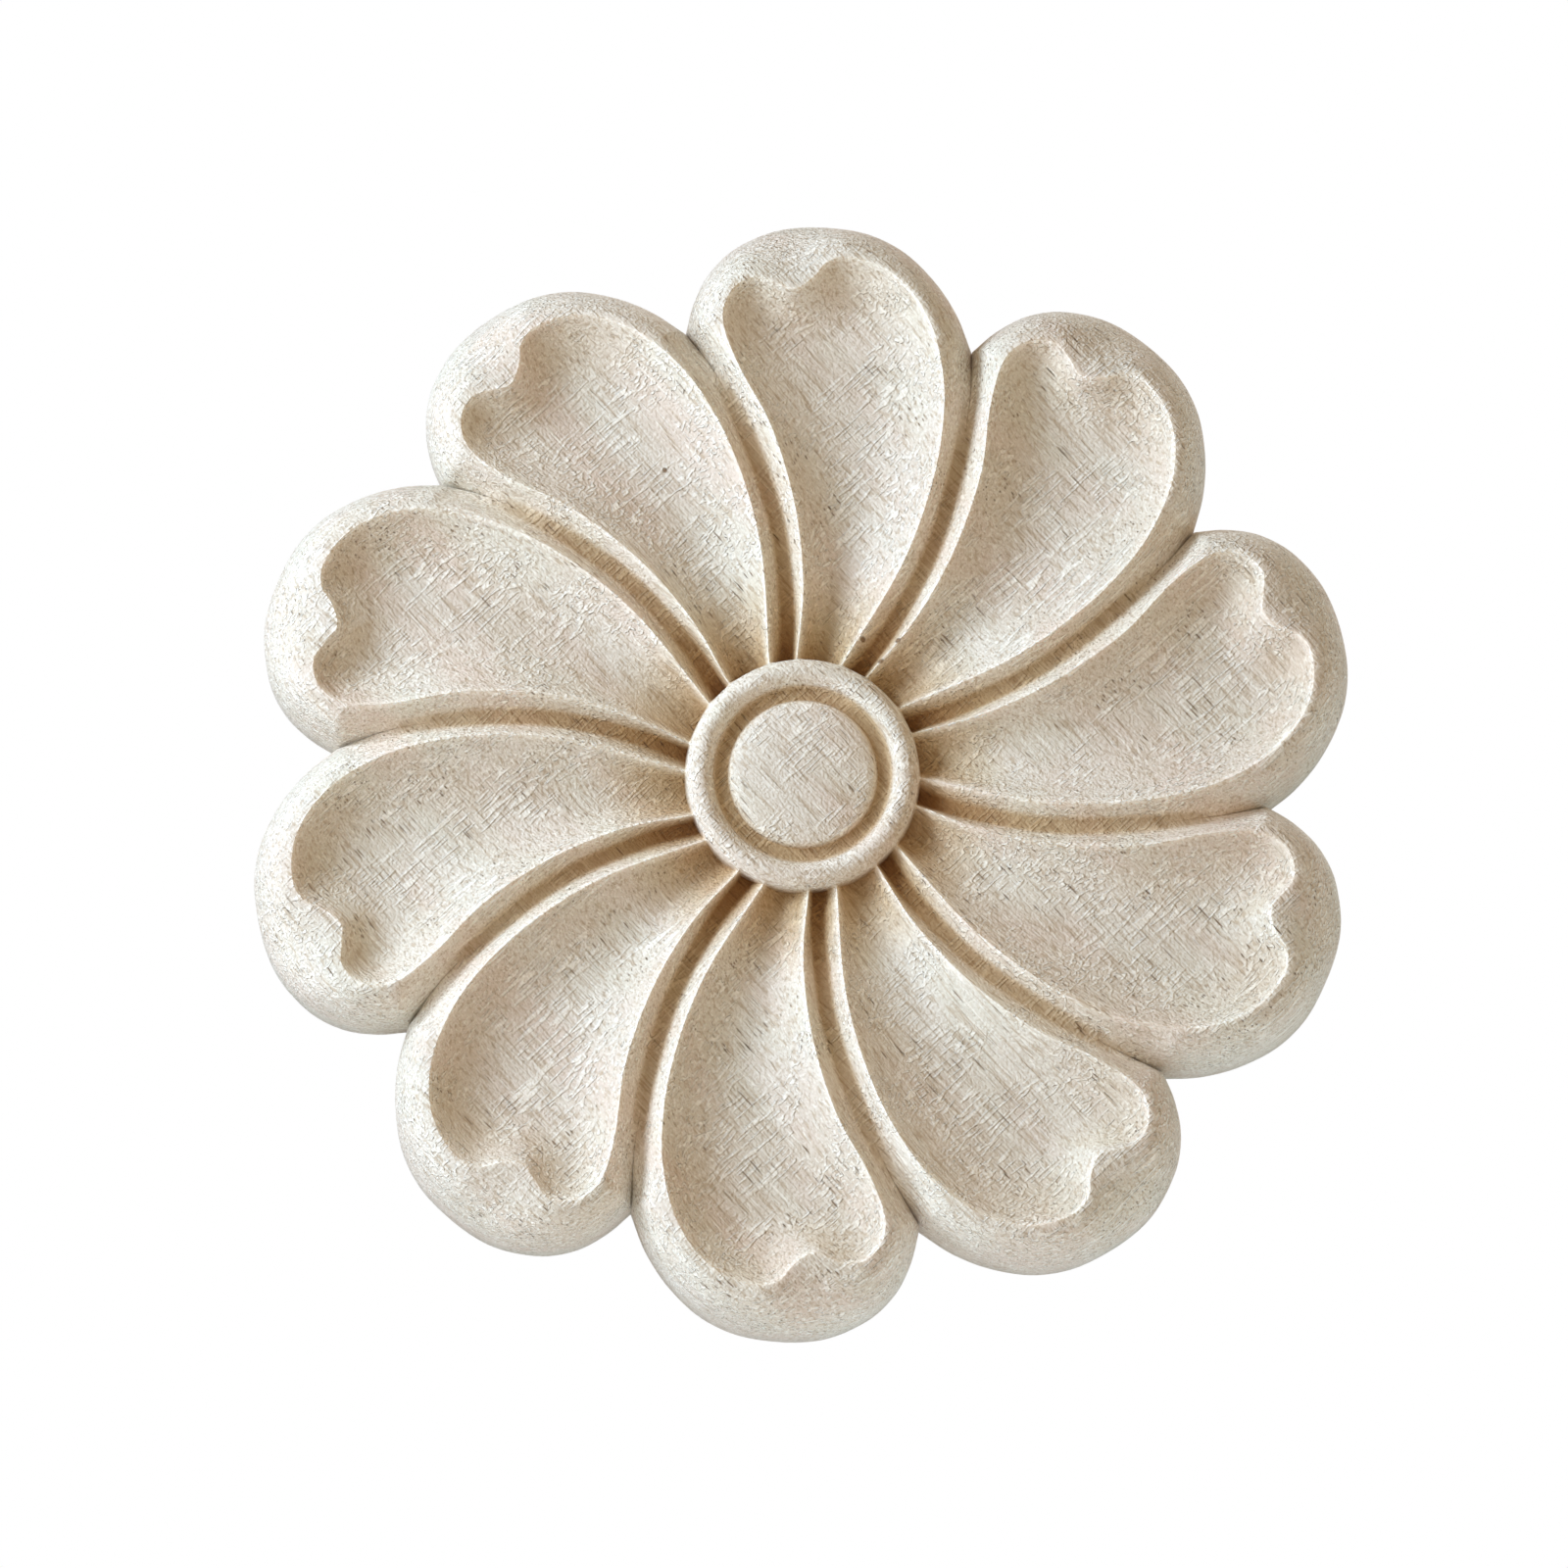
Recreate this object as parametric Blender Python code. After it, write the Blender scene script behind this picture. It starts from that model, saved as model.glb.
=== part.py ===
"""Carved rosette applique: ten swirling, scooped petals round a ringed button, cut from one
piece of wood. The flat back lies in the plane Y = 0, centred on the origin, and the carved
face looks along -Y with the first petal pointing up, along +Z."""

import math

import bmesh
import bpy
from mathutils import Matrix, Vector
from mathutils.geometry import interpolate_bezier

NODE_NAME = "carved_rosette"
MM = 0.001                      # one millimetre in metres

# Driving dimensions, in millimetres
PETAL_COUNT = 10
THICKNESS = 12.5                # from the flat back to the petals' outer crests
WALL_HEIGHT = 4.5               # upright side wall below the rolled rim
BOSS_RADIUS = 12.6              # where the petals meet the ring
CREST_SINK = 4.5                # how far the crests sink from the outer petals to the boss
CREST_SINK_POWER = 2.6
CREST_LEVEL_RADIUS = 50.0       # beyond this the crests are level
SCOOP_DEPTH_AT_BOSS = 2.2       # scoop floor below the crests
SCOOP_DEPTH_OUTSIDE = 4.0
GROOVE_DEPTH_AT_BOSS = 1.7      # groove between two petals, below the crests
GROOVE_DEPTH_OUTSIDE = 2.3
GROOVE_RUNOUT_POWER = 8.0       # the groove dives to the side wall only near its outer end

# Cross-section laws: height as a power of the share of the way across, with the bank's width
GROOVE_FLANK_POWER = 1.15       # nearly straight, slightly rounded over
ROLL_POWER = 1.8                # the outer rim is close to a quarter circle
SIDE_SCOOP_POWER = 2.0          # the scoop's sides are round
LOBE_SCOOP_POWER = 2.3          # its outer end is steeper at the edge
LOBE_BANK = 8.0                 # mm from the lobes and the cusp down to the scoop's floor
LOBE_START = 0.55               # share of the side where the end's law starts to take over

# Ring and button, as radii and heights above the back
RING_CREST_RADIUS = 10.9
RING_CREST_HEIGHT = 9.6
RING_OUTER_DROP = 1.6
RING_INNER_DROP = 1.7
RING_POWER = 2.0
RING_GROOVE_RADIUS = 9.3        # where the ring comes down to the groove's flat floor
BUTTON_RADIUS = 8.0             # where the button rises from it
BUTTON_TOP_HEIGHT = 9.6
BUTTON_POWER = 2.6

# One petal in plan: x to the right, y outwards from the centre, seen from the front.
# The groove runs from the boss to the notch in the outline.
GROOVE_KNOTS = ((-1.69, 12.49), (-1.65, 18.0), (-2.9, 27.3), (-5.9, 36.0), (-9.2, 43.0),
                (-12.5, 48.1))
# The outline runs from this notch round the petal's end, up to the next petal's notch.
OUTLINE_KNOTS = ((-12.5, 48.1), (-11.7, 51.4), (-10.0, 54.8), (-6.9, 57.7), (-1.6, 59.75),
                 (5.6, 59.45), (10.4, 57.5), (14.1, 54.1), (16.6, 50.3))
# The crest is the scoop's crisp edge: up the left side, over the small lobe, the cusp and
# the large lobe, and down the right side.
CREST_KNOTS = ((-0.6, 12.6), (0.0, 20.0), (-0.85, 28.2), (-3.4, 36.8), (-7.0, 43.6),
               (-8.65, 48.6), (-7.6, 51.7), (-5.2, 53.05), (-2.9, 52.4), (-1.0, 51.8),
               (1.1, 53.1), (2.5, 54.7), (4.9, 55.3), (8.9, 53.9), (12.0, 50.9),
               (14.1, 46.5), (15.0, 40.0), (13.9, 31.6), (10.5, 22.2), (4.2, 11.88))
# The spine is the deepest line of the scoop, from the boss outwards.
SPINE_KNOTS = ((2.17, 12.41), (4.0, 20.9), (5.6, 28.8), (5.8, 35.6), (5.1, 41.0), (4.4, 46.0))

# Knots that face each other across the rim: notch, small lobe, cusp, large lobe, notch
OUTLINE_STATIONS = (0, 3, 4, 5, 9)
CREST_STATIONS = (5, 7, 9, 12, 15)

# Mesh steps
SIDE_STEPS = 12                 # along each side of a petal
TOP_STEPS = (5, 4, 5, 7)        # round its outer end, from station to station
RIM_STEPS = 3                   # from the crest down to the groove or the outline
SCOOP_STEPS = 4                 # from the crest down to the spine
CURVE_STEPS = 12                # between two knots while a curve is drawn
BOSS_RADII = (12.3, 11.7, 10.9, 10.0, 9.3, 8.0, 7.8, 7.0, 5.6, 3.2)
SHARP_ANGLE = math.radians(32)
WELD_DISTANCE = 1e-6            # metres

BARE_WOOD = (0.66, 0.57, 0.45)
BARE_WOOD_ROUGHNESS = 0.75


def clear_scene():
    """Remove whatever the start-up scene holds."""
    for thing in list(bpy.data.objects):
        bpy.data.objects.remove(thing, do_unlink=True)


def blend(start, end, share):
    """The value at a share of the way from start to end."""
    return start + (end - start) * share


def eased(share):
    """A share of the way that starts and ends gently."""
    share = min(max(share, 0.0), 1.0)
    return share * share * (3 - 2 * share)


def turned(point, petals):
    """A plan point turned clockwise by a number of petals."""
    return Matrix.Rotation(-petals * 2 * math.pi / PETAL_COUNT, 2) @ point


def smooth_curve(knots):
    """Points along a smooth curve that passes through every knot."""
    knots = [Vector(knot) for knot in knots]
    last = len(knots) - 1
    tangents = [(knots[min(i + 1, last)] - knots[max(i - 1, 0)]).normalized()
                for i in range(last + 1)]
    points = [knots[0]]
    for i in range(last):
        reach = (knots[i + 1] - knots[i]).length / 3
        stretch = interpolate_bezier(knots[i], knots[i] + tangents[i] * reach,
                                     knots[i + 1] - tangents[i + 1] * reach, knots[i + 1],
                                     CURVE_STEPS + 1)
        points += stretch[1:]
    return points


def even_steps(points, count):
    """The same curve as count equal steps, both ends included."""
    lengths = [0.0]
    for before, after in zip(points, points[1:]):
        lengths.append(lengths[-1] + (after - before).length)
    spaced = []
    span = 0
    for step in range(count + 1):
        target = lengths[-1] * step / count
        while span < len(points) - 2 and lengths[span + 1] < target:
            span += 1
        share = (target - lengths[span]) / (lengths[span + 1] - lengths[span])
        spaced.append(points[span].lerp(points[span + 1], share))
    return spaced


def between_stations(curve, stations):
    """The part of a curve from station to station, in the steps of a petal's outer end."""
    points = [curve[stations[0] * CURVE_STEPS]]
    for start, end, count in zip(stations, stations[1:], TOP_STEPS):
        stretch = curve[start * CURVE_STEPS:end * CURVE_STEPS + 1]
        points += even_steps(stretch, count)[1:]
    return points


def crest_height(point):
    """Height of the crests: level outside, sinking towards the boss."""
    inward = (CREST_LEVEL_RADIUS - point.length) / (CREST_LEVEL_RADIUS - BOSS_RADIUS)
    return THICKNESS - CREST_SINK * max(0.0, inward) ** CREST_SINK_POWER


def floor_height(point):
    """Height of the scoop's floor at a point of its spine."""
    outer_end = Vector(SPINE_KNOTS[-1]).length
    share = (point.length - BOSS_RADIUS) / (outer_end - BOSS_RADIUS)
    depth = blend(SCOOP_DEPTH_AT_BOSS, SCOOP_DEPTH_OUTSIDE, math.sin(math.pi / 2 * share))
    return crest_height(point) - depth


def bank_rise(point, crest_curve):
    """Rise of the bank below the lobes, falling with the distance from the crest. The
    distance is rounded off below the cusp and in the lobes, as a ball cutter leaves it."""
    pull = 0.0
    for before, after in zip(crest_curve, crest_curve[1:]):
        gap = (point - (before + after) / 2).length
        pull += (after - before).length / gap ** 3
    distance = (pull / 2) ** -0.5
    return max(0.0, 1 - distance / LOBE_BANK) ** LOBE_SCOOP_POWER


class PetalLine:
    """One line across the petal: from the groove or outline up to the crest, and down
    through the scoop to its spine."""

    def __init__(self, edge, crest, spine, share):
        self.edge = edge
        self.crest = crest
        self.spine = spine
        self.share = share              # of the way out along the side, and 1 round the end
        self.runout = share ** GROOVE_RUNOUT_POWER
        self.lobe = eased((share - LOBE_START) / (1 - LOBE_START))

    def edge_height(self):
        """Height of the groove's floor, or of the side wall's top at the outline."""
        depth = blend(GROOVE_DEPTH_AT_BOSS, GROOVE_DEPTH_OUTSIDE, self.share)
        return blend(crest_height(self.edge) - depth, WALL_HEIGHT, self.runout)

    def scoop_rise(self, across, crest_curve):
        """How far a point of the scoop stands above its floor, as a share of its depth."""
        if across in (0, 1):
            return 1 - across
        side = (1 - across) ** SIDE_SCOOP_POWER
        bank = bank_rise(self.crest.lerp(self.spine, across), crest_curve)
        foot = bank_rise(self.spine, crest_curve)
        return blend(side, (bank - foot) / (1 - foot), self.lobe)

    def points(self, crest_curve):
        """Plan points with heights, from the edge over the crest to the spine."""
        low = self.edge_height()
        high = crest_height(self.crest)
        rim = []
        for step in range(RIM_STEPS, 0, -1):
            across = math.sin(math.pi / 2 * step / RIM_STEPS)
            flank = across ** GROOVE_FLANK_POWER
            roll = 1 - (1 - across ** ROLL_POWER) ** (1 / ROLL_POWER)
            fall = blend(flank, roll, self.runout)
            rim.append((self.crest.lerp(self.edge, across), blend(high, low, fall)))
        scoop = []
        floor = floor_height(self.spine)
        for step in range(SCOOP_STEPS + 1):
            across = step / SCOOP_STEPS
            height = blend(floor, high, self.scoop_rise(across, crest_curve))
            scoop.append((self.crest.lerp(self.spine, across), height))
        return rim + scoop


def petal_lines():
    """Every line across one petal, from its left foot at the boss round to its right foot."""
    groove = even_steps(smooth_curve(GROOVE_KNOTS), SIDE_STEPS)
    next_notch = turned(Vector(OUTLINE_KNOTS[0]), 1)
    outline_curve = smooth_curve((*OUTLINE_KNOTS, next_notch))
    outline = between_stations(outline_curve, OUTLINE_STATIONS)
    crest_curve = smooth_curve(CREST_KNOTS)
    left_end = CREST_STATIONS[0] * CURVE_STEPS
    right_start = CREST_STATIONS[-1] * CURVE_STEPS
    left_crest = even_steps(crest_curve[:left_end + 1], SIDE_STEPS)
    right_crest = even_steps(crest_curve[right_start:], SIDE_STEPS)
    top_crest = between_stations(crest_curve, CREST_STATIONS)
    spine = even_steps(smooth_curve(SPINE_KNOTS), SIDE_STEPS)

    lines = []
    for step in range(SIDE_STEPS):
        share = step / SIDE_STEPS
        line = PetalLine(groove[step], left_crest[step], spine[step], share)
        lines.append(line.points(crest_curve))
    for edge, crest in zip(outline, top_crest):
        lines.append(PetalLine(edge, crest, spine[-1], 1.0).points(crest_curve))
    for step in range(SIDE_STEPS - 1, -1, -1):
        share = step / SIDE_STEPS
        line = PetalLine(turned(groove[step], 1), right_crest[SIDE_STEPS - step],
                         spine[step], share)
        lines.append(line.points(crest_curve))
    return lines


def face_point(plan, height):
    """A plan point and its height above the back, as a place on the rosette."""
    return Vector((plan.x, -height, plan.y)) * MM


def add_petal(mesh):
    """One petal's carved surface, as quads between neighbouring lines."""
    rows = []
    for line in petal_lines():
        rows.append([mesh.verts.new(face_point(plan, height)) for plan, height in line])
    for foot_row in (0, -1):
        for foot in rows[foot_row]:
            reach = Vector((foot.co.x, foot.co.z)).length
            foot.co.x *= BOSS_RADIUS * MM / reach
            foot.co.z *= BOSS_RADIUS * MM / reach
    for row, next_row in zip(rows, rows[1:]):
        for i in range(len(row) - 1):
            mesh.faces.new((row[i], row[i + 1], next_row[i + 1], next_row[i]))


def repeat_petal(mesh):
    """Turn copies of the petal about the middle and weld all of them together."""
    bmesh.ops.spin(mesh, geom=mesh.verts[:] + mesh.edges[:] + mesh.faces[:],
                   cent=(0, 0, 0), axis=(0, 1, 0), steps=PETAL_COUNT - 1,
                   angle=2 * math.pi * (PETAL_COUNT - 1) / PETAL_COUNT, use_duplicate=True)
    bmesh.ops.remove_doubles(mesh, verts=mesh.verts[:], dist=WELD_DISTANCE)
    bmesh.ops.dissolve_degenerate(mesh, dist=WELD_DISTANCE, edges=mesh.edges[:])


def boundary_edges(mesh, inside):
    """Open edges at the boss, or the ones along the outline."""
    middle = 2 * BOSS_RADIUS * MM
    return [edge for edge in mesh.edges if edge.is_boundary
            and (Vector((edge.verts[0].co.x, edge.verts[0].co.z)).length < middle) == inside]


def boss_height(radius):
    """Height of the ring and the button at a radius."""
    groove_height = RING_CREST_HEIGHT - RING_INNER_DROP
    if radius < BUTTON_RADIUS:
        rise = (1 - (radius / BUTTON_RADIUS) ** BUTTON_POWER) ** (1 / BUTTON_POWER)
        return blend(groove_height, BUTTON_TOP_HEIGHT, rise)
    if radius < RING_GROOVE_RADIUS:
        return groove_height
    if radius < RING_CREST_RADIUS:
        share = (RING_CREST_RADIUS - radius) / (RING_CREST_RADIUS - RING_GROOVE_RADIUS)
        return RING_CREST_HEIGHT - RING_INNER_DROP * share ** RING_POWER
    share = (radius - RING_CREST_RADIUS) / (BOSS_RADIUS - RING_CREST_RADIUS)
    return RING_CREST_HEIGHT - RING_OUTER_DROP * share ** RING_POWER


def add_boss(mesh):
    """Carry the petals' inner edge inwards over the ring and the button to the middle."""
    edges = boundary_edges(mesh, inside=True)
    for radius in BOSS_RADII:
        grown = bmesh.ops.extrude_edge_only(mesh, edges=edges)["geom"]
        for vert in (item for item in grown if isinstance(item, bmesh.types.BMVert)):
            plan = Vector((vert.co.x, vert.co.z)).normalized() * radius
            vert.co = face_point(plan, boss_height(radius))
        edges = [item for item in grown if isinstance(item, bmesh.types.BMEdge)]
    grown = bmesh.ops.extrude_edge_only(mesh, edges=edges)["geom"]
    tip = [item for item in grown if isinstance(item, bmesh.types.BMVert)]
    bmesh.ops.pointmerge(mesh, verts=tip, merge_co=face_point(Vector((0, 0)), boss_height(0)))


def add_wall_and_back(mesh):
    """Drop the outline to the back plane and close it with one flat face."""
    edges = boundary_edges(mesh, inside=False)
    grown = bmesh.ops.extrude_edge_only(mesh, edges=edges)["geom"]
    for vert in (item for item in grown if isinstance(item, bmesh.types.BMVert)):
        vert.co.y = 0.0
    rim = [item for item in grown if isinstance(item, bmesh.types.BMEdge)]
    bmesh.ops.edgenet_fill(mesh, edges=rim)


def bare_wood():
    """Unfinished pale hardwood."""
    material = bpy.data.materials.new("bare_wood")
    material.use_nodes = True
    shader = material.node_tree.nodes["Principled BSDF"]
    shader.inputs["Base Color"].default_value = (*BARE_WOOD, 1.0)
    shader.inputs["Roughness"].default_value = BARE_WOOD_ROUGHNESS
    shader.inputs["Metallic"].default_value = 0.0
    return material


def make_rosette():
    """The whole applique as one closed solid."""
    mesh = bmesh.new()
    add_petal(mesh)
    repeat_petal(mesh)
    add_boss(mesh)
    add_wall_and_back(mesh)
    bmesh.ops.recalc_face_normals(mesh, faces=mesh.faces[:])
    data = bpy.data.meshes.new(NODE_NAME)
    mesh.to_mesh(data)
    mesh.free()
    data.materials.append(bare_wood())
    data.shade_smooth()
    data.set_sharp_from_angle(angle=SHARP_ANGLE)
    rosette = bpy.data.objects.new(NODE_NAME, data)
    bpy.context.scene.collection.objects.link(rosette)


clear_scene()
make_rosette()
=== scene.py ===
"""Carved rosette applique in bare pale hardwood: the fine carved surface, its finish as the
cutter left it, with painted shade in its hollows and a painted highlight on its crests, and a
plain pale studio."""

import math

import bmesh
import bpy
import numpy as np
from mathutils import Matrix, Vector
from mathutils.geometry import interpolate_bezier


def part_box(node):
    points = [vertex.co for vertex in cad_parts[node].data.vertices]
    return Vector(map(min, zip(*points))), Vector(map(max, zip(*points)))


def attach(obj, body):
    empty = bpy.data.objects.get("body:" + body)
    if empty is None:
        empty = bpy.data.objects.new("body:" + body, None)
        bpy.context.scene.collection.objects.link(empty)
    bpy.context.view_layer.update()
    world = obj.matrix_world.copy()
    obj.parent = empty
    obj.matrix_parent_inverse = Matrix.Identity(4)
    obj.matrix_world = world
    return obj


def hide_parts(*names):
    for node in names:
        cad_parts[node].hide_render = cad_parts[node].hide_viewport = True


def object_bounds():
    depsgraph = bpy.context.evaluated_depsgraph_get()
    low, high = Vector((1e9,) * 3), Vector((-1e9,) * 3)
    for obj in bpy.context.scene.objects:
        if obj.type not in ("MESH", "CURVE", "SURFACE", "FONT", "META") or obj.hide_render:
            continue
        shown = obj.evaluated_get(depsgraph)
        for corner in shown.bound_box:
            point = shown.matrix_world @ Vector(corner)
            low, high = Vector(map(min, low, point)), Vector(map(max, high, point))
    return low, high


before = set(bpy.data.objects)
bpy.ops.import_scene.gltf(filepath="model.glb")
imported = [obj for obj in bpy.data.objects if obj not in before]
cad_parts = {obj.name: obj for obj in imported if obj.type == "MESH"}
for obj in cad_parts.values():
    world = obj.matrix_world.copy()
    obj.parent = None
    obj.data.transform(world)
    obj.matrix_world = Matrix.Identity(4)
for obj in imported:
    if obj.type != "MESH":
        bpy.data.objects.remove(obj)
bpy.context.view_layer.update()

NODE_NAME = "carved_rosette"
NODE_LOW, NODE_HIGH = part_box(NODE_NAME)
MM = 0.001                      # one millimetre in metres

# The carving, in millimetres: the solid's driving dimensions, and for the grooves between the
# petals a flat floor with rounded sides, which the solid leaves out
PETAL_COUNT = 10
THICKNESS = -NODE_LOW.y / MM    # from the flat back to the petals' outer crests
WALL_HEIGHT = 4.5               # upright side wall below the rolled rim
BOSS_RADIUS = 12.6              # where the petals meet the ring
CREST_SINK = 4.5                # how far the crests sink from the outer petals to the boss
CREST_SINK_POWER = 2.6
CREST_LEVEL_RADIUS = 50.0       # beyond this the crests are level
SCOOP_DEPTH_AT_BOSS = 2.2       # scoop floor below the crests
SCOOP_DEPTH_OUTSIDE = 4.0
GROOVE_DEPTH_AT_BOSS = 1.7      # groove between two petals, below the crests
GROOVE_DEPTH_OUTSIDE = 2.3
GROOVE_RUNOUT_POWER = 8.0       # the groove dives to the side wall only near its outer end
GROOVE_FLOOR = 1.2              # width of the flat floor that the small cutter leaves

# Cross-section laws: height as a power of the share of the way across
GROOVE_FLANK_POWER = 1.15
GROOVE_FOOT_POWER = 1.3         # a flank runs into the groove's floor with a small round
ROLL_POWER = 1.8
SIDE_SCOOP_POWER = 2.0
LOBE_SCOOP_POWER = 2.3
LOBE_BANK = 8.0                 # mm from the lobes and the cusp down to the scoop's floor
LOBE_START = 0.55               # share of the side where the end's law starts to take over

# Ring and button, as radii and heights above the back
RING_CREST_RADIUS = 10.9
RING_CREST_HEIGHT = 9.6
RING_OUTER_DROP = 1.6
RING_INNER_DROP = 1.7
RING_POWER = 2.0
RING_GROOVE_RADIUS = 9.3        # flat floor of the groove from here to the button
BUTTON_RADIUS = 8.0
BUTTON_TOP_HEIGHT = 9.6
BUTTON_POWER = 2.6

# One petal in plan: x to the right, y outwards from the centre, seen from the front
GROOVE_KNOTS = ((-1.69, 12.49), (-1.65, 18.0), (-2.9, 27.3), (-5.9, 36.0), (-9.2, 43.0),
                (-12.5, 48.1))
OUTLINE_KNOTS = ((-12.5, 48.1), (-11.7, 51.4), (-10.0, 54.8), (-6.9, 57.7), (-1.6, 59.75),
                 (5.6, 59.45), (10.4, 57.5), (14.1, 54.1), (16.6, 50.3))
CREST_KNOTS = ((-0.6, 12.6), (0.0, 20.0), (-0.85, 28.2), (-3.4, 36.8), (-7.0, 43.6),
               (-8.65, 48.6), (-7.6, 51.7), (-5.2, 53.05), (-2.9, 52.4), (-1.0, 51.8),
               (1.1, 53.1), (2.5, 54.7), (4.9, 55.3), (8.9, 53.9), (12.0, 50.9),
               (14.1, 46.5), (15.0, 40.0), (13.9, 31.6), (10.5, 22.2), (4.2, 11.88))
SPINE_KNOTS = ((2.17, 12.41), (4.0, 20.9), (5.6, 28.8), (5.8, 35.6), (5.1, 41.0), (4.4, 46.0))

# Knots that face each other across the rim: notch, small lobe, cusp, large lobe, notch
OUTLINE_STATIONS = (0, 3, 4, 5, 9)
CREST_STATIONS = (5, 7, 9, 12, 15)

# Mesh steps
SIDE_STEPS = 60                 # along each side of a petal
TOP_STEPS = (17, 14, 17, 28)    # round its outer end, from station to station
RIM_STEPS = 12                  # from the crest down to the groove or the outline
SCOOP_STEPS = 22                # from the crest down to the spine
STEP_CROWDING = 1.6             # steps are finer near the crest, which keeps it crisp
LOBE_REACH = 12                 # steps along a side over which the painted shade on a lobe's bank fades
CURVE_STEPS = 24                # between two knots while a curve is drawn
BOSS_STEPS = 44                 # rings of faces from the petals to the middle
WELD_DISTANCE = 1e-6            # metres
SHARP_ANGLE = math.radians(50)


def blend(start, end, share):
    """The value at a share of the way from start to end."""
    return start + (end - start) * share


def eased(share):
    """A share of the way that starts and ends gently."""
    share = np.clip(share, 0, 1)
    return share * share * (3 - 2 * share)


def turned(point, petals):
    """A plan point turned clockwise by a number of petals."""
    return Matrix.Rotation(-petals * 2 * math.pi / PETAL_COUNT, 2) @ Vector(point)


def smooth_curve(knots):
    """Points along a smooth curve that passes through every knot, as rows of x and y."""
    knots = [Vector(knot) for knot in knots]
    last = len(knots) - 1
    tangents = [(knots[min(i + 1, last)] - knots[max(i - 1, 0)]).normalized()
                for i in range(last + 1)]
    points = [knots[0]]
    for i in range(last):
        reach = (knots[i + 1] - knots[i]).length / 3
        stretch = interpolate_bezier(knots[i], knots[i] + tangents[i] * reach,
                                     knots[i + 1] - tangents[i + 1] * reach, knots[i + 1],
                                     CURVE_STEPS + 1)
        points += stretch[1:]
    return np.array(points)


def even_steps(points, count):
    """The same curve as count equal steps, both ends included."""
    lengths = np.concatenate(([0], np.cumsum(np.linalg.norm(np.diff(points, axis=0), axis=1))))
    marks = np.linspace(0, lengths[-1], count + 1)
    return np.column_stack([np.interp(marks, lengths, points[:, i]) for i in (0, 1)])


def between_stations(curve, stations):
    """The part of a curve from station to station, in the steps of a petal's outer end."""
    pieces = [curve[stations[0] * CURVE_STEPS][None]]
    for start, end, count in zip(stations, stations[1:], TOP_STEPS):
        stretch = curve[start * CURVE_STEPS:end * CURVE_STEPS + 1]
        pieces.append(even_steps(stretch, count)[1:])
    return np.vstack(pieces)


def radius_of(points):
    """Distance of plan points from the middle."""
    return np.linalg.norm(points, axis=-1)


def crest_height(points):
    """Height of the crests: level outside, sinking towards the boss."""
    inward = (CREST_LEVEL_RADIUS - radius_of(points)) / (CREST_LEVEL_RADIUS - BOSS_RADIUS)
    return THICKNESS - CREST_SINK * np.maximum(0, inward) ** CREST_SINK_POWER


def floor_height(points):
    """Height of the scoop's floor at points of its spine."""
    outer_end = math.hypot(*SPINE_KNOTS[-1])
    share = (radius_of(points) - BOSS_RADIUS) / (outer_end - BOSS_RADIUS)
    depth = blend(SCOOP_DEPTH_AT_BOSS, SCOOP_DEPTH_OUTSIDE, np.sin(math.pi / 2 * share))
    return crest_height(points) - depth


def bank_rise(points, crest_curve):
    """Rise of the bank below the lobes, falling with the distance from the crest. The
    distance is rounded off below the cusp and in the lobes, as a ball cutter leaves it."""
    pull = np.zeros(points.shape[:-1])
    for before, after in zip(crest_curve, crest_curve[1:]):
        length = np.linalg.norm(after - before)
        along = (points - before) @ (after - before) / length
        gap = np.maximum(((points - before) ** 2).sum(-1) - along ** 2, 1e-8)
        ahead = length - along
        pull += (ahead / np.sqrt(ahead ** 2 + gap) + along / np.sqrt(along ** 2 + gap)) / gap
    distance = (pull / 2) ** -0.5
    return np.maximum(0, 1 - distance / LOBE_BANK) ** LOBE_SCOOP_POWER


def petal_lines():
    """Edge, crest and spine points of every line across one petal, from its left foot at the
    boss round to its right foot, with each line's share of the way out along the side."""
    groove = even_steps(smooth_curve(GROOVE_KNOTS), SIDE_STEPS)
    next_groove = np.array([turned(point, 1) for point in groove])
    outline_curve = smooth_curve((*OUTLINE_KNOTS, turned(OUTLINE_KNOTS[0], 1)))
    outline = between_stations(outline_curve, OUTLINE_STATIONS)
    crest_curve = smooth_curve(CREST_KNOTS)
    left_end = CREST_STATIONS[0] * CURVE_STEPS
    right_start = CREST_STATIONS[-1] * CURVE_STEPS
    left_crest = even_steps(crest_curve[:left_end + 1], SIDE_STEPS)
    right_crest = even_steps(crest_curve[right_start:], SIDE_STEPS)
    top_crest = between_stations(crest_curve, CREST_STATIONS)
    spine = even_steps(smooth_curve(SPINE_KNOTS), SIDE_STEPS)
    share = np.linspace(0, 1, SIDE_STEPS + 1)

    edge = np.vstack((groove[:-1], outline, next_groove[-2::-1]))
    crest = np.vstack((left_crest[:-1], top_crest, right_crest[1:]))
    spine_end = np.repeat(spine[-1:], len(outline), axis=0)
    spine = np.vstack((spine[:-1], spine_end, spine[-2::-1]))
    share = np.concatenate((share[:-1], np.ones(len(outline)), share[-2::-1]))
    return edge, crest, spine, share, crest_curve


def near_lobes():
    """How near each line across a petal is to the middle of a lobe, as a share."""
    small_lobe, cusp, large_lobe, last = SIDE_STEPS + np.cumsum(TOP_STEPS)
    marks = (SIDE_STEPS - LOBE_REACH, small_lobe, cusp, large_lobe, last + LOBE_REACH)
    return np.interp(np.arange(last + SIDE_STEPS + 1), marks, (0, 1, 0, 1, 0))


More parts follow.
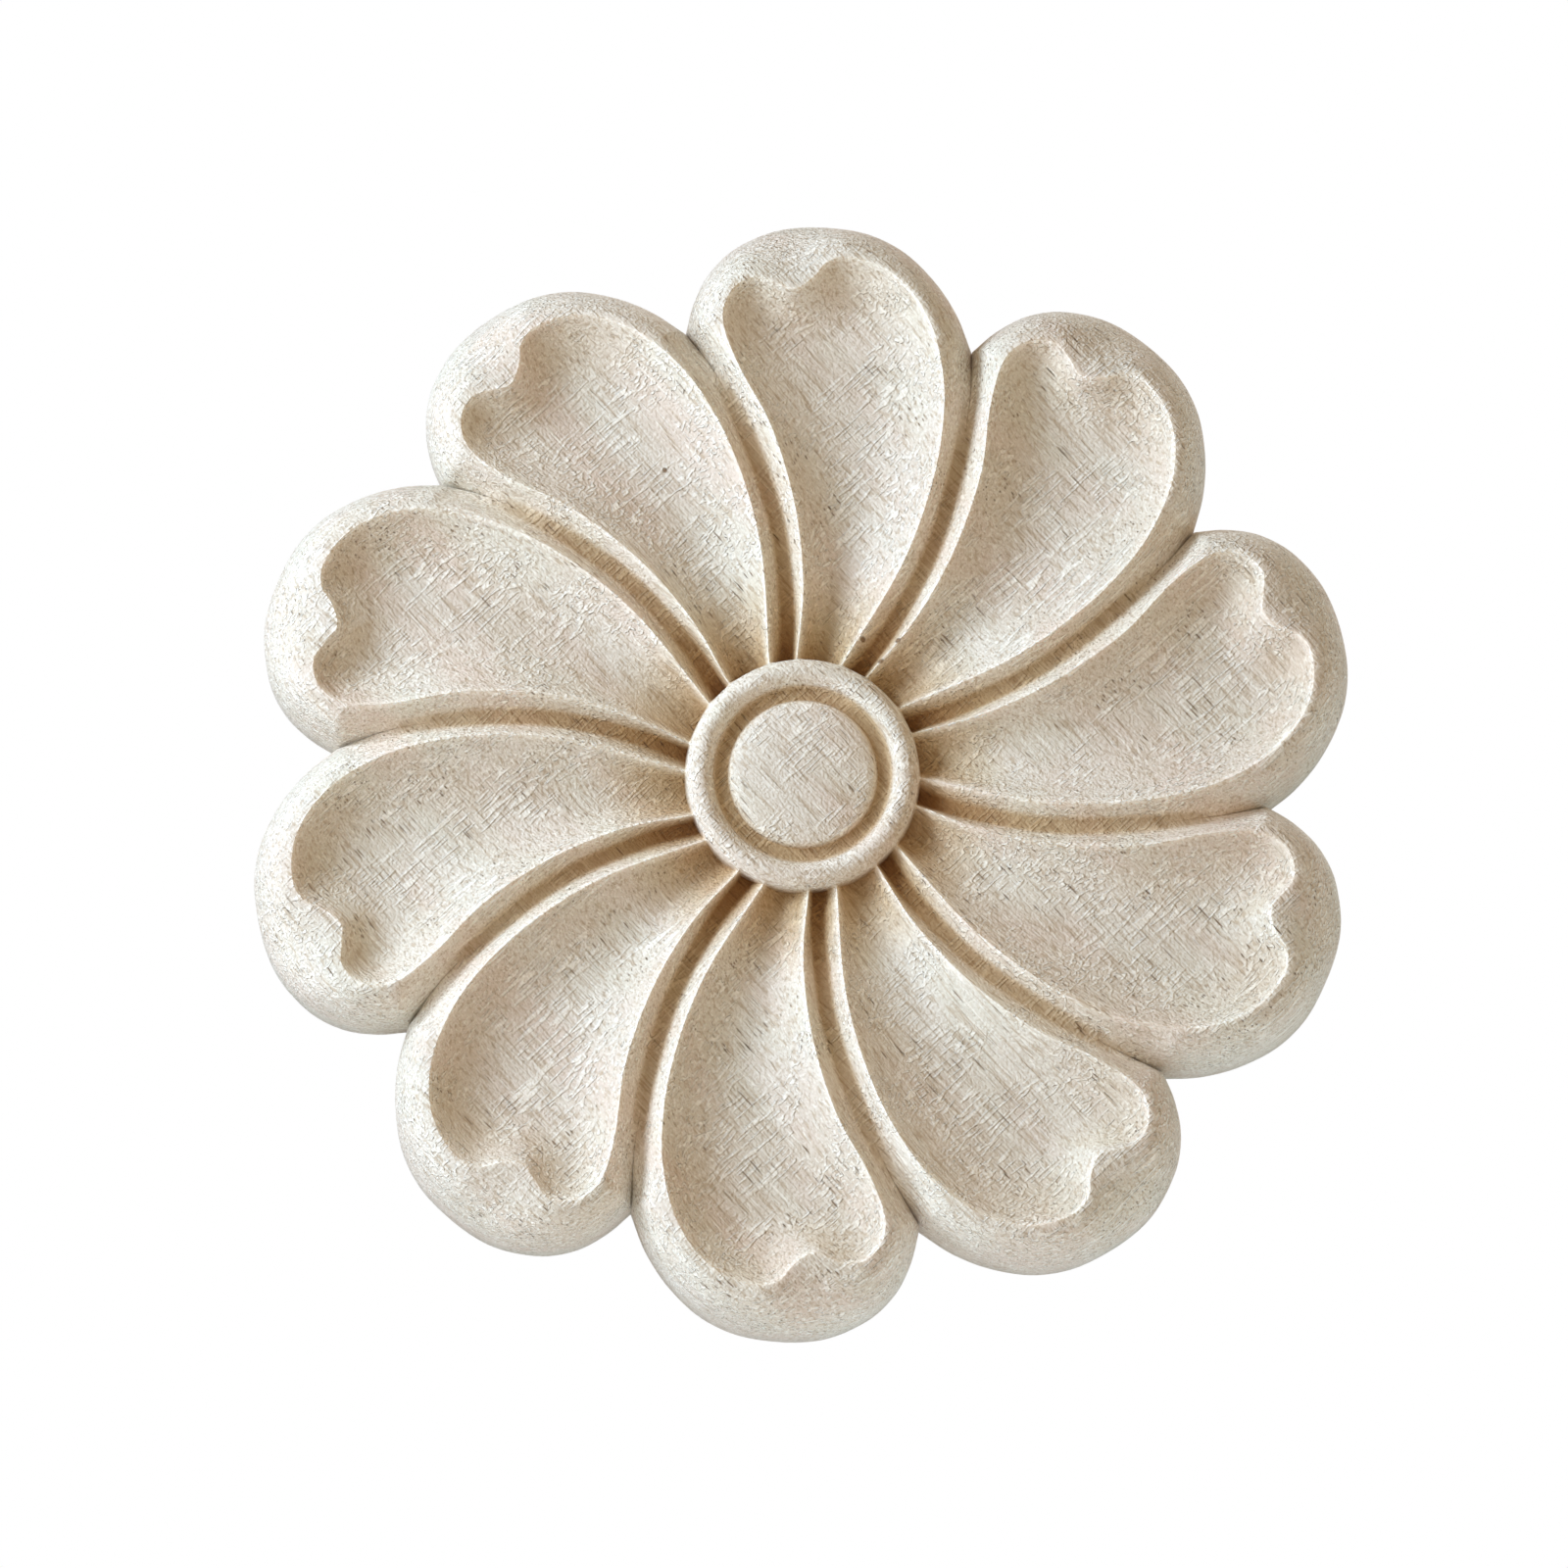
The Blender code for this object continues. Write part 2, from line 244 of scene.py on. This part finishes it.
def petal_surface():
    """Plan points and heights of one petal, a row for each line across it, with how far each
    point is down into a groove or out on the rim, how near it is to the crest and how much of
    the way up a lobe's bank, as shares."""
    edge, crest, spine, share, crest_curve = petal_lines()
    runout = (share ** GROOVE_RUNOUT_POWER)[:, None]
    high = crest_height(crest)[:, None]

    depth = blend(GROOVE_DEPTH_AT_BOSS, GROOVE_DEPTH_OUTSIDE, share)
    low = blend(crest_height(edge) - depth, WALL_HEIGHT, runout[:, 0])[:, None]
    turn = np.linspace(1, 0, RIM_STEPS, endpoint=False) ** STEP_CROWDING
    across = np.sin(math.pi / 2 * turn)
    width = radius_of(edge - crest)[:, None]
    descent = np.minimum(1, across * width / (width - GROOVE_FLOOR / 2))
    flank = 1 - (1 - descent ** GROOVE_FLANK_POWER) ** GROOVE_FOOT_POWER
    roll = 1 - (1 - across ** ROLL_POWER) ** (1 / ROLL_POWER)
    rim = blend(crest[:, None], edge[:, None], across[None, :, None])
    rim_height = blend(high, low, blend(flank, roll, runout))
    rim_groove = descent * (1 - runout)
    outer_rim = np.sqrt(across) * runout

    across = np.linspace(0, 1, SCOOP_STEPS + 1) ** STEP_CROWDING
    scoop = blend(crest[:, None], spine[:, None], across[None, :, None])
    floor = floor_height(spine)[:, None]
    side = (1 - across) ** SIDE_SCOOP_POWER
    bank = bank_rise(scoop, crest_curve)
    foot = bank[:, -1:]
    lobe = eased((share - LOBE_START) / (1 - LOBE_START))[:, None]
    rise = blend(side, (bank - foot) / (1 - foot), lobe)
    rise[:, 0] = 1
    scoop_height = blend(floor, high, rise)

    plan = np.concatenate((rim, scoop), axis=1)
    height = np.concatenate((rim_height, scoop_height), axis=1)
    groove, outer_rim = (np.concatenate((marks, np.zeros_like(scoop_height)), axis=1)
                         for marks in (rim_groove, outer_rim))
    near_crest = np.clip(1 - radius_of(plan - crest[:, None]) / CREST_BAND, 0, 1)
    bank = eased(rise / BANK_EDGE) * eased((1 - rise) / BANK_EDGE) * near_lobes()[:, None]
    bank = np.concatenate((np.zeros_like(rim_height), bank), axis=1)
    for foot_row in (0, -1):
        plan[foot_row] *= (BOSS_RADIUS / radius_of(plan[foot_row]))[:, None]
    return plan, height, {"groove": groove, "outer_rim": outer_rim, "near_crest": near_crest,
                          "bank": bank}


def boss_height(radius):
    """Height of the ring and the button at a radius."""
    groove_height = RING_CREST_HEIGHT - RING_INNER_DROP
    if radius < BUTTON_RADIUS:
        rise = (1 - (radius / BUTTON_RADIUS) ** BUTTON_POWER) ** (1 / BUTTON_POWER)
        return blend(groove_height, BUTTON_TOP_HEIGHT, rise)
    if radius < RING_GROOVE_RADIUS:
        return groove_height
    if radius < RING_CREST_RADIUS:
        share = (RING_CREST_RADIUS - radius) / (RING_CREST_RADIUS - RING_GROOVE_RADIUS)
        return RING_CREST_HEIGHT - RING_INNER_DROP * share ** RING_POWER
    share = (radius - RING_CREST_RADIUS) / (BOSS_RADIUS - RING_CREST_RADIUS)
    return RING_CREST_HEIGHT - RING_OUTER_DROP * share ** RING_POWER


def pick_rim(inside):
    """Select only the open edge at the boss, or the one along the outline."""
    bpy.ops.mesh.select_all(action="DESELECT")
    mesh = bmesh.from_edit_mesh(bpy.context.object.data)
    middle = 2 * BOSS_RADIUS * MM
    for edge in mesh.edges:
        at_boss = math.hypot(edge.verts[0].co.x, edge.verts[0].co.z) < middle
        if edge.is_boundary and at_boss == inside:
            edge.select_set(True)
    bmesh.update_edit_mesh(bpy.context.object.data)


def carve_petal():
    """A grid whose rows become the lines across one petal."""
    plan, height, shares = petal_surface()
    lines, steps = height.shape
    bpy.ops.object.select_all(action="DESELECT")
    bpy.ops.mesh.primitive_grid_add(x_subdivisions=steps - 1, y_subdivisions=lines - 1,
                                    size=THICKNESS * MM)
    petal = bpy.context.object
    places = np.stack((plan[..., 0], -height, plan[..., 1]), axis=-1) * MM
    petal.data.vertices.foreach_set("co", places.astype(np.float32).ravel())
    for name, share in shares.items():
        marks = petal.data.attributes.new(name, "FLOAT", "POINT")
        marks.data.foreach_set("value", share.astype(np.float32).ravel())
    petal.data.update()
    return petal


def repeat_petal():
    """Turn copies of the petal about the middle and weld all of them together."""
    bpy.ops.mesh.select_all(action="SELECT")
    bpy.ops.mesh.spin(steps=PETAL_COUNT - 1, dupli=True, center=(0, 0, 0), axis=(0, 1, 0),
                      angle=2 * math.pi * (PETAL_COUNT - 1) / PETAL_COUNT)
    bpy.ops.mesh.select_all(action="SELECT")
    bpy.ops.mesh.remove_doubles(threshold=WELD_DISTANCE)


def turn_boss():
    """Carry the petals' feet inwards over the ring and the button to the middle."""
    pick_rim(inside=True)
    radii = np.linspace(BOSS_RADIUS, 0, BOSS_STEPS + 1)
    for outer, inner in zip(radii, radii[1:-1]):
        bpy.ops.mesh.extrude_edges_move()
        bpy.ops.transform.resize(value=(inner / outer, 0, inner / outer),
                                 center_override=(0, -boss_height(inner) * MM, 0))
    bpy.ops.mesh.extrude_edges_move()
    bpy.ops.mesh.merge(type="CENTER")


def sharpen_ring_foot():
    """Keep a crisp corner where the petals meet the ring."""
    bpy.ops.mesh.select_all(action="DESELECT")
    mesh = bmesh.from_edit_mesh(bpy.context.object.data)
    for edge in mesh.edges:
        if all(abs(math.hypot(v.co.x, v.co.z) / MM - BOSS_RADIUS) < 0.01 for v in edge.verts):
            edge.select_set(True)
    bmesh.update_edit_mesh(bpy.context.object.data)
    bpy.ops.mesh.mark_sharp()


def close_back():
    """Drop the outline to the back plane and close it with one flat face."""
    pick_rim(inside=False)
    bpy.ops.mesh.extrude_edges_move(TRANSFORM_OT_translate={"value": (0, WALL_HEIGHT * MM, 0)})
    bpy.ops.mesh.edge_face_add()


def fit_to_solid():
    """Bring the fine outline, a hair wider than the solid's straight steps, inside its box."""
    low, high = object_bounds()
    share = min(NODE_HIGH.x / high.x, NODE_LOW.x / low.x, NODE_HIGH.z / high.z,
                NODE_LOW.z / low.z)
    bpy.ops.object.mode_set(mode="EDIT")
    bpy.ops.mesh.select_all(action="SELECT")
    bpy.ops.transform.resize(value=(share, 1, share), center_override=(0, 0, 0))
    bpy.ops.object.mode_set(mode="OBJECT")


def make_rosette():
    """The whole applique as one closed fine mesh."""
    rosette = carve_petal()
    rosette.name = rosette.data.name = "bare_wood_rosette"
    bpy.ops.object.mode_set(mode="EDIT")
    repeat_petal()
    turn_boss()
    sharpen_ring_foot()
    close_back()
    bpy.ops.mesh.select_all(action="SELECT")
    bpy.ops.mesh.normals_make_consistent(inside=False)
    bpy.ops.object.mode_set(mode="OBJECT")
    fit_to_solid()
    bpy.ops.object.shade_smooth_by_angle(angle=SHARP_ANGLE)
    return rosette


# Painted shade, partly the cutter's scorch, in the hollows, and a painted highlight on the
# crests
CREST_BAND = 0.6                # mm to each side of a crest with the painted highlight
FLANK_SHADE = (0.2, 0.0)       # share of painted shade, partly scorch, on the grooves' flanks, beside the ring and at the outline
                                # and at the outline
FLOOR_SHADE = (1.05, 0.45)     # and on their floors, beside the ring and at the outline
FLOOR_START = 0.65              # share of the way down a flank where the floor's starts
LOBE_SHADE = 0.14              # share of painted shade on the banks of the lobes
BANK_EDGE = 0.3                 # share of a bank's rise over which it starts and ends
RING_SHADE_REACH = (12.6, 23.0)     # radii where the painted shade round the ring starts and ends
RING_SHADE_FADE_POWER = 1.5         # and how soon it fades between them
RING_SHADE = 1.25              # share of painted shade beside the ring, where its shadow falls, this many mm below the crests
RING_SHADE_DEPTH = 1.2         # the crests
BOSS_SHADE = 1.0               # share of painted shade on the floor of the ring's groove
BOSS_SHADE_START = 0.5         # share of the way down to that floor where it starts
CREST_HIGHLIGHT = 0.85             # share of the painted highlight on the crests
SLOPE_GAIN = 0.2                # steep faces are made paler, by this share per unit of slope
STEEPEST_SLOPE = 1.2            # steeper ones, as rise over run, are no paler than this
LEAST_FACING = 0.5              # faces turned further from the front count as that steep
BOSS_GAIN = 0.04                # the ring and the button are made a little paler
JUST_WITHIN = 0.99              # share of a limit that tells points on it from those past it


def stored(mesh, name):
    """The shares that were stored on a mesh's points."""
    shares = np.empty(len(mesh.vertices), np.float32)
    mesh.attributes[name].data.foreach_get("value", shares)
    return shares


def record_painted_light_and_passes(rosette):
    """Store on every point how much painted shade in the hollows (partly scorch), a painted
    highlight on the crests and paler steep faces change the colour of the wood there, and how
    surely the cutter's passes show."""
    mesh = rosette.data
    places = np.empty(len(mesh.vertices) * 3, np.float32)
    mesh.vertices.foreach_get("co", places)
    x, y, z = places.reshape(-1, 3).T / MM
    facings = np.empty(len(mesh.vertices) * 3, np.float32)
    mesh.vertex_normals.foreach_get("vector", facings)
    across, out, up = facings.reshape(-1, 3).T

    front = -y > WALL_HEIGHT * JUST_WITHIN
    radius = np.hypot(x, z)
    boss = radius < BOSS_RADIUS * JUST_WITHIN
    petals = front & ~boss
    crests = crest_height(np.column_stack((x, z)))
    sunk = np.clip(np.where(boss, RING_CREST_HEIGHT, crests) + y, 0, None)
    groove = stored(mesh, "groove") * petals
    along = (BOSS_RADIUS, CREST_LEVEL_RADIUS)
    flank = eased(groove / FLOOR_START) * np.interp(radius, along, FLANK_SHADE)
    floor = (eased((groove - FLOOR_START) / (1 - FLOOR_START))
             * np.interp(radius, along, FLOOR_SHADE))
    near_ring = np.interp(radius, RING_SHADE_REACH, (1, 0)) ** RING_SHADE_FADE_POWER * petals
    boss_floor = eased((sunk / RING_INNER_DROP - BOSS_SHADE_START) / (1 - BOSS_SHADE_START))
    # painted shade, partly the cutter's scorch: grooves, lobe banks, scoops beside the ring and
    # the ring's groove made darker and browner
    shade_and_scorch = (flank + floor + LOBE_SHADE * stored(mesh, "bank") * petals
              + RING_SHADE * near_ring * np.clip(sunk / RING_SHADE_DEPTH, 0, 1)
              + BOSS_SHADE * boss_floor * (radius < RING_CREST_RADIUS))
    # painted highlight: the crests are made paler
    crest_highlight = stored(mesh, "near_crest") * petals * CREST_HIGHLIGHT
    slope = np.hypot(across, up) / np.maximum(-out, LEAST_FACING) * front
    gain = 1 + SLOPE_GAIN * np.minimum(slope, STEEPEST_SLOPE) + BOSS_GAIN * boss
    pale, shade_and_scorch_colour, crest_highlight_colour = (np.array(linear(name)[:3]) for name in (PALE, SHADE_AND_SCORCH, FIBRES_AND_HIGHLIGHT))
    # the tint paints the shade of the hollows, the highlight on the crests and the paler steep
    # faces into the wood
    shade_and_highlight_tint = np.ones((len(radius), 4), np.float32)
    shade_and_highlight_tint[:, :3] = gain[:, None] * ((shade_and_scorch_colour / pale) ** shade_and_scorch[:, None]
                                   * (crest_highlight_colour / pale) ** crest_highlight[:, None])
    mesh.attributes.new("shade_and_highlight_tint", "FLOAT_COLOR", "POINT").data.foreach_set("color", shade_and_highlight_tint.ravel())
    worked = (stored(mesh, "outer_rim") * petals).astype(np.float32)
    mesh.attributes.new("worked", "FLOAT", "POINT").data.foreach_set("value", worked)


def add(tree, kind, values=None, links=None, **settings):
    """Add a node with its settings, its sockets' values and the sockets that feed it."""
    node = tree.nodes.new(kind)
    for name, setting in settings.items():
        setattr(node, name, setting)
    for socket, value in (values or {}).items():
        node.inputs[socket].default_value = value
    for socket, source in (links or {}).items():
        tree.links.new(source, node.inputs[socket])
    return node


# Colours of the wood, as sRGB
PALE = "dedad1"                 # fresh cut face
ROSY = "d9cdc2"                 # slightly rosier bands
COOL = "d6d8ca"                 # slightly greener patches
STREAK = "b09d83"               # vessel lines
PORE = "84694b"                 # open pores
SHADE_AND_SCORCH = "b39b7a"             # painted shade, partly the cutter's scorch, in the grooves and round the ring
FIBRES_AND_HIGHLIGHT = "f6f4ec"               # raised fibres along the grain and the cutter's passes, and the painted highlight on the crests

GRAIN_TURN = math.radians(47)   # the grain runs down to the right
PASS_TURN = GRAIN_TURN - math.radians(90)

# Clouds stretched along the grain or along the cutter's passes: length and width in
# millimetres, turn, detail, and the window of the cloud that counts from nought to one.
# Real fibres are a few hundredths of a millimetre wide: they are drawn as coarse as shows.
CLOUDS = {"bands": (45.0, 9.0, GRAIN_TURN, 2.0, 0.35, 0.65),
          "cool_patches": (14.0, 6.0, GRAIN_TURN, 1.0, 0.42, 0.62),
          "vessels": (7.0, 0.34, GRAIN_TURN, 1.0, 0.50, 0.70),
          "long_fibres": (6.0, 0.26, GRAIN_TURN, 1.0, 0.56, 0.72),
          "short_fibres": (2.2, 0.26, GRAIN_TURN, 0.0, 0.38, 0.66),
          "passes": (3.4, 0.32, PASS_TURN, 0.0, 0.50, 0.68),
          "pass_patches": (8.0, 5.0, PASS_TURN, 1.0, 0.38, 0.56),
          "torn": (0.35, 0.28, GRAIN_TURN, 1.0, 0.35, 0.65),
          "pore_patches": (14.0, 6.0, GRAIN_TURN, 2.0, 0.40, 0.60)}
PORE_ROOM = (6.0, 0.45)         # room of one open pore, whose dash fills its middle
PORE_DASH = (0.26, 0.10)        # edge and middle of the dash, as shares of that room
PORE_CHANCE = (0.3, 0.6)        # rooms below the first hold no pore
PITS = ((10.1, 14.3), (8.3, 12.2), (6.4, 14.5), (-14.7, 32.7))     # places torn out, in plan
PIT_HEIGHT = 9.0                # above the back
PIT_FLATNESS = 0.05             # pits count height this little, so that none shows on the back
PIT_EDGE = (0.36, 0.14)         # mm from a pit's middle to its edge and to its floor

# Layers of colour from the bottom up, and of relief in millimetres, hollows as less than nought
COLOUR_LAYERS = (("cool_patches", COOL, 0.3), ("vessels", STREAK, 0.6), ("torn", STREAK, 0.22),
                 ("long_fibres", FIBRES_AND_HIGHLIGHT, 0.55), ("worked_passes", FIBRES_AND_HIGHLIGHT, 0.4),
                 ("hatching", FIBRES_AND_HIGHLIGHT, 0.7), ("pores", PORE, 0.8), ("pits", PORE, 0.9))
RELIEF_LAYERS = (("vessels", -0.03), ("long_fibres", 0.03), ("short_fibres", 0.035),
                 ("worked_passes", 0.12), ("torn", 0.05), ("pores", -0.1), ("pits", -0.2))

MIX_A, MIX_B, MIX_RESULT = 6, 7, 2     # a mix node's sockets for colours, whose names repeat


def bare_hardwood():
    """Pale hardwood left as the ball-nosed cutter made it: short brown pores along the grain
    and faint passes across it. The stored tint adds painted shade (partly scorch) in the
    grooves and a painted highlight on the crests."""
    material = bpy.data.materials.new("bare_hardwood_as_carved")
    material.use_nodes = True
    tree = material.node_tree
    shader = tree.nodes["Principled BSDF"]
    shader.inputs["Roughness"].default_value = 0.82
    shader.inputs["Specular IOR Level"].default_value = 0.3
    shader.inputs["Sheen Weight"].default_value = 0.08
    shader.inputs["Sheen Roughness"].default_value = 0.5
    place = add(tree, "ShaderNodeTexCoord").outputs["Object"]

    shares = {}
    for name, (length, width, turn, detail, low, high) in CLOUDS.items():
        laid = add(tree, "ShaderNodeMapping",
                   {"Rotation": (0, turn, 0), "Scale": (length * MM, width * MM, width * MM)},
                   {"Vector": place}, vector_type="TEXTURE")
        cloud = add(tree, "ShaderNodeTexNoise", {"Scale": 1.0, "Detail": detail},
                    {"Vector": laid.outputs[0]})
        window = add(tree, "ShaderNodeMapRange", {"From Min": low, "From Max": high},
                     {"Value": cloud.outputs["Fac"]}, interpolation_type="SMOOTHSTEP")
        shares[name] = window.outputs[0]

    length, width = PORE_ROOM
    laid = add(tree, "ShaderNodeMapping",
               {"Rotation": (0, GRAIN_TURN, 0), "Scale": (length * MM, width * MM, width * MM)},
               {"Vector": place}, vector_type="TEXTURE")
    rooms = add(tree, "ShaderNodeTexVoronoi", {"Scale": 1.0, "Randomness": 1.0},
                {"Vector": laid.outputs[0]})
    draw = add(tree, "ShaderNodeSeparateColor", links={0: rooms.outputs["Color"]})
    for name, source, (low, high) in (("dashes", rooms.outputs["Distance"], PORE_DASH),
                                      ("filled_rooms", draw.outputs[0], PORE_CHANCE)):
        window = add(tree, "ShaderNodeMapRange", {"From Min": low, "From Max": high},
                     {"Value": source}, interpolation_type="SMOOTHSTEP")
        shares[name] = window.outputs[0]

    worked = add(tree, "ShaderNodeAttribute", attribute_name="worked").outputs["Fac"]
    patches = add(tree, "ShaderNodeMath", links={0: shares["pass_patches"], 1: worked},
                  operation="MAXIMUM")
    shares["pass_patches"] = patches.outputs[0]
    for name, first, second in (("worked_passes", "passes", "pass_patches"),
                                ("hatching", "worked_passes", "short_fibres"),
                                ("gathered_rooms", "filled_rooms", "pore_patches"),
                                ("pores", "dashes", "gathered_rooms")):
        product = add(tree, "ShaderNodeMath", links={0: shares[first], 1: shares[second]},
                      operation="MULTIPLY")
        shares[name] = product.outputs[0]

    plan = add(tree, "ShaderNodeVectorMath", {1: (1, PIT_FLATNESS, 1)}, {0: place},
               operation="MULTIPLY")
    nearest = None
    for x, z in PITS:
        middle = (x * MM, -PIT_HEIGHT * PIT_FLATNESS * MM, z * MM)
        gap = add(tree, "ShaderNodeVectorMath", {1: middle}, {0: plan.outputs[0]},
                  operation="DISTANCE").outputs["Value"]
        nearest = gap if nearest is None else add(
            tree, "ShaderNodeMath", links={0: nearest, 1: gap}, operation="MINIMUM").outputs[0]
    edge, floor = PIT_EDGE
    shares["pits"] = add(tree, "ShaderNodeMapRange",
                         {"From Min": edge * MM, "From Max": floor * MM}, {"Value": nearest},
                         interpolation_type="SMOOTHSTEP").outputs[0]

    colour = add(tree, "ShaderNodeMix", {MIX_A: linear(PALE), MIX_B: linear(ROSY)},
                 {0: shares["bands"]}, data_type="RGBA").outputs[MIX_RESULT]
    for name, paint, strength in COLOUR_LAYERS:
        share = add(tree, "ShaderNodeMath", {1: strength}, {0: shares[name]},
                    operation="MULTIPLY").outputs[0]
        colour = add(tree, "ShaderNodeMix", {MIX_B: linear(paint)}, {0: share, MIX_A: colour},
                     data_type="RGBA").outputs[MIX_RESULT]
    # the stored tint multiplies in the painted shade of the hollows and the painted highlight
    # of the crests
    shade_and_highlight_tint = add(tree, "ShaderNodeAttribute", attribute_name="shade_and_highlight_tint").outputs["Color"]
    colour = add(tree, "ShaderNodeMix", {0: 1.0}, {MIX_A: colour, MIX_B: shade_and_highlight_tint},
                 data_type="RGBA", blend_type="MULTIPLY").outputs[MIX_RESULT]
    tree.links.new(colour, shader.inputs["Base Color"])

    relief = {}
    for name, height in RELIEF_LAYERS:
        bump = add(tree, "ShaderNodeBump", {"Strength": 1.0, "Distance": abs(height) * MM},
                   {"Height": shares[name], **relief}, invert=height < 0)
        relief = {"Normal": bump.outputs[0]}
    tree.links.new(relief["Normal"], shader.inputs["Normal"])
    return material


def linear(hex_colour):
    """An sRGB hex colour as linear red, green, blue and alpha."""
    channels = [int(hex_colour[i:i + 2], 16) / 255 for i in (0, 2, 4)]
    return tuple(c / 12.92 if c <= 0.04045 else ((c + 0.055) / 1.055) ** 2.4
                 for c in channels) + (1.0,)


# Camera, from the photograph: below and a little to the left of straight in front
PIXELS_PER_MM = 9.54
IMAGE_SIZE = 1600               # pixels each way
TILT = math.radians(9)          # between the view and the rosette's axis
TILT_TURN = math.radians(8)     # the camera's place, clockwise from straight below
MIDDLE_PIXEL = (817.5, 802.0)   # where the middle of the back shows
LENS = 300.0                    # long, so that near and far petals look alike
SENSOR = 36.0


def add_camera():
    """A long lens at the photograph's viewing angle."""
    frame_width = IMAGE_SIZE / PIXELS_PER_MM * MM
    distance = frame_width * LENS / SENSOR
    towards = Vector((-math.sin(TILT) * math.sin(TILT_TURN), -math.cos(TILT),
                      -math.sin(TILT) * math.cos(TILT_TURN)))
    data = bpy.data.cameras.new("camera")
    data.lens = LENS
    data.sensor_width = SENSOR
    data.shift_x = (IMAGE_SIZE / 2 - MIDDLE_PIXEL[0]) / IMAGE_SIZE
    data.shift_y = (MIDDLE_PIXEL[1] - IMAGE_SIZE / 2) / IMAGE_SIZE
    camera = bpy.data.objects.new("camera", data)
    bpy.context.scene.collection.objects.link(camera)
    camera.location = towards * distance
    camera.rotation_euler = (-towards).to_track_quat("-Z", "Y").to_euler()
    bpy.context.scene.camera = camera


# Light: azimuth counter-clockwise from +X as seen from the front, height above the plane of
# the back, distance and width in metres, and colour times strength as shares of full light
LIGHTS = {"left_window": (150, 30, 0.48, 0.18, (0.62, 0.73, 0.85)),
          "low_window": (190, 28, 0.50, 0.18, (0.28, 0.33, 0.39)),
          "front_fill": (0, 90, 2.5, 1.5, (0.16, 0.14, 0.115)),
          "right_wall": (0, 35, 2.5, 1.5, (0.09, 0.06, 0.03)),
          "right_bounce": (-15, -12, 2.5, 1.5, (0.15, 0.23, 0.28)),
          "low_bounce": (-80, -12, 0.27, 0.16, (0.10, 0.13, 0.16)),
          "back_fill": (60, -50, 2.5, 1.5, (0.5, 0.5, 0.5))}
ROOM_COLOUR = (0.25, 0.19, 0.125)
FLOOR_DROP = 0.3                # metres from the rosette's middle down to the floor
FLOOR_SIZE = 0.8
FLOOR_PAINT = "e8e6e2"


def add_lights():
    """Soft daylight from two windows on the left, with weak fills and bounce on the rims."""
    for name, (azimuth, height, distance, width, share) in LIGHTS.items():
        azimuth, height = math.radians(azimuth), math.radians(height)
        data = bpy.data.lights.new(name, "AREA")
        data.shape = "DISK"
        data.size = width
        data.color = share
        data.energy = (math.pi * distance) ** 2
        light = bpy.data.objects.new(name, data)
        bpy.context.scene.collection.objects.link(light)
        towards = Vector((math.cos(height) * math.cos(azimuth), -math.sin(height),
                          math.cos(height) * math.sin(azimuth)))
        light.location = towards * distance
        light.rotation_euler = towards.to_track_quat("Z", "Y").to_euler()
        light.visible_camera = False


def add_room():
    """Even light from a pale room that shows as plain white behind the rosette."""
    world = bpy.data.worlds.new("white_room")
    world.use_nodes = True
    tree = world.node_tree
    tree.nodes.clear()
    light = add(tree, "ShaderNodeBackground", {"Color": (*ROOM_COLOUR, 1), "Strength": 1})
    white = add(tree, "ShaderNodeBackground", {"Color": (1, 1, 1, 1), "Strength": 1})
    ray = add(tree, "ShaderNodeLightPath")
    both = add(tree, "ShaderNodeMixShader", links={0: ray.outputs["Is Camera Ray"],
                                                   1: light.outputs[0], 2: white.outputs[0]})
    add(tree, "ShaderNodeOutputWorld", links={"Surface": both.outputs[0]})
    bpy.context.scene.world = world


def add_floor():
    """A plain pale floor, well below the rosette."""
    bpy.ops.object.select_all(action="DESELECT")
    bpy.ops.mesh.primitive_plane_add(size=FLOOR_SIZE, location=(0, 0, -FLOOR_DROP))
    floor = bpy.context.object
    floor.name = "floor"
    material = bpy.data.materials.new("matt_white_paint")
    material.use_nodes = True
    shader = material.node_tree.nodes["Principled BSDF"]
    shader.inputs["Base Color"].default_value = linear(FLOOR_PAINT)
    shader.inputs["Roughness"].default_value = 0.9
    floor.data.materials.append(material)


rosette = make_rosette()
record_painted_light_and_passes(rosette)
rosette.data.materials.append(bare_hardwood())
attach(rosette, "root")
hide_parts(NODE_NAME)
add_camera()
add_lights()
add_room()
add_floor()
bpy.context.scene.view_settings.view_transform = "Standard"
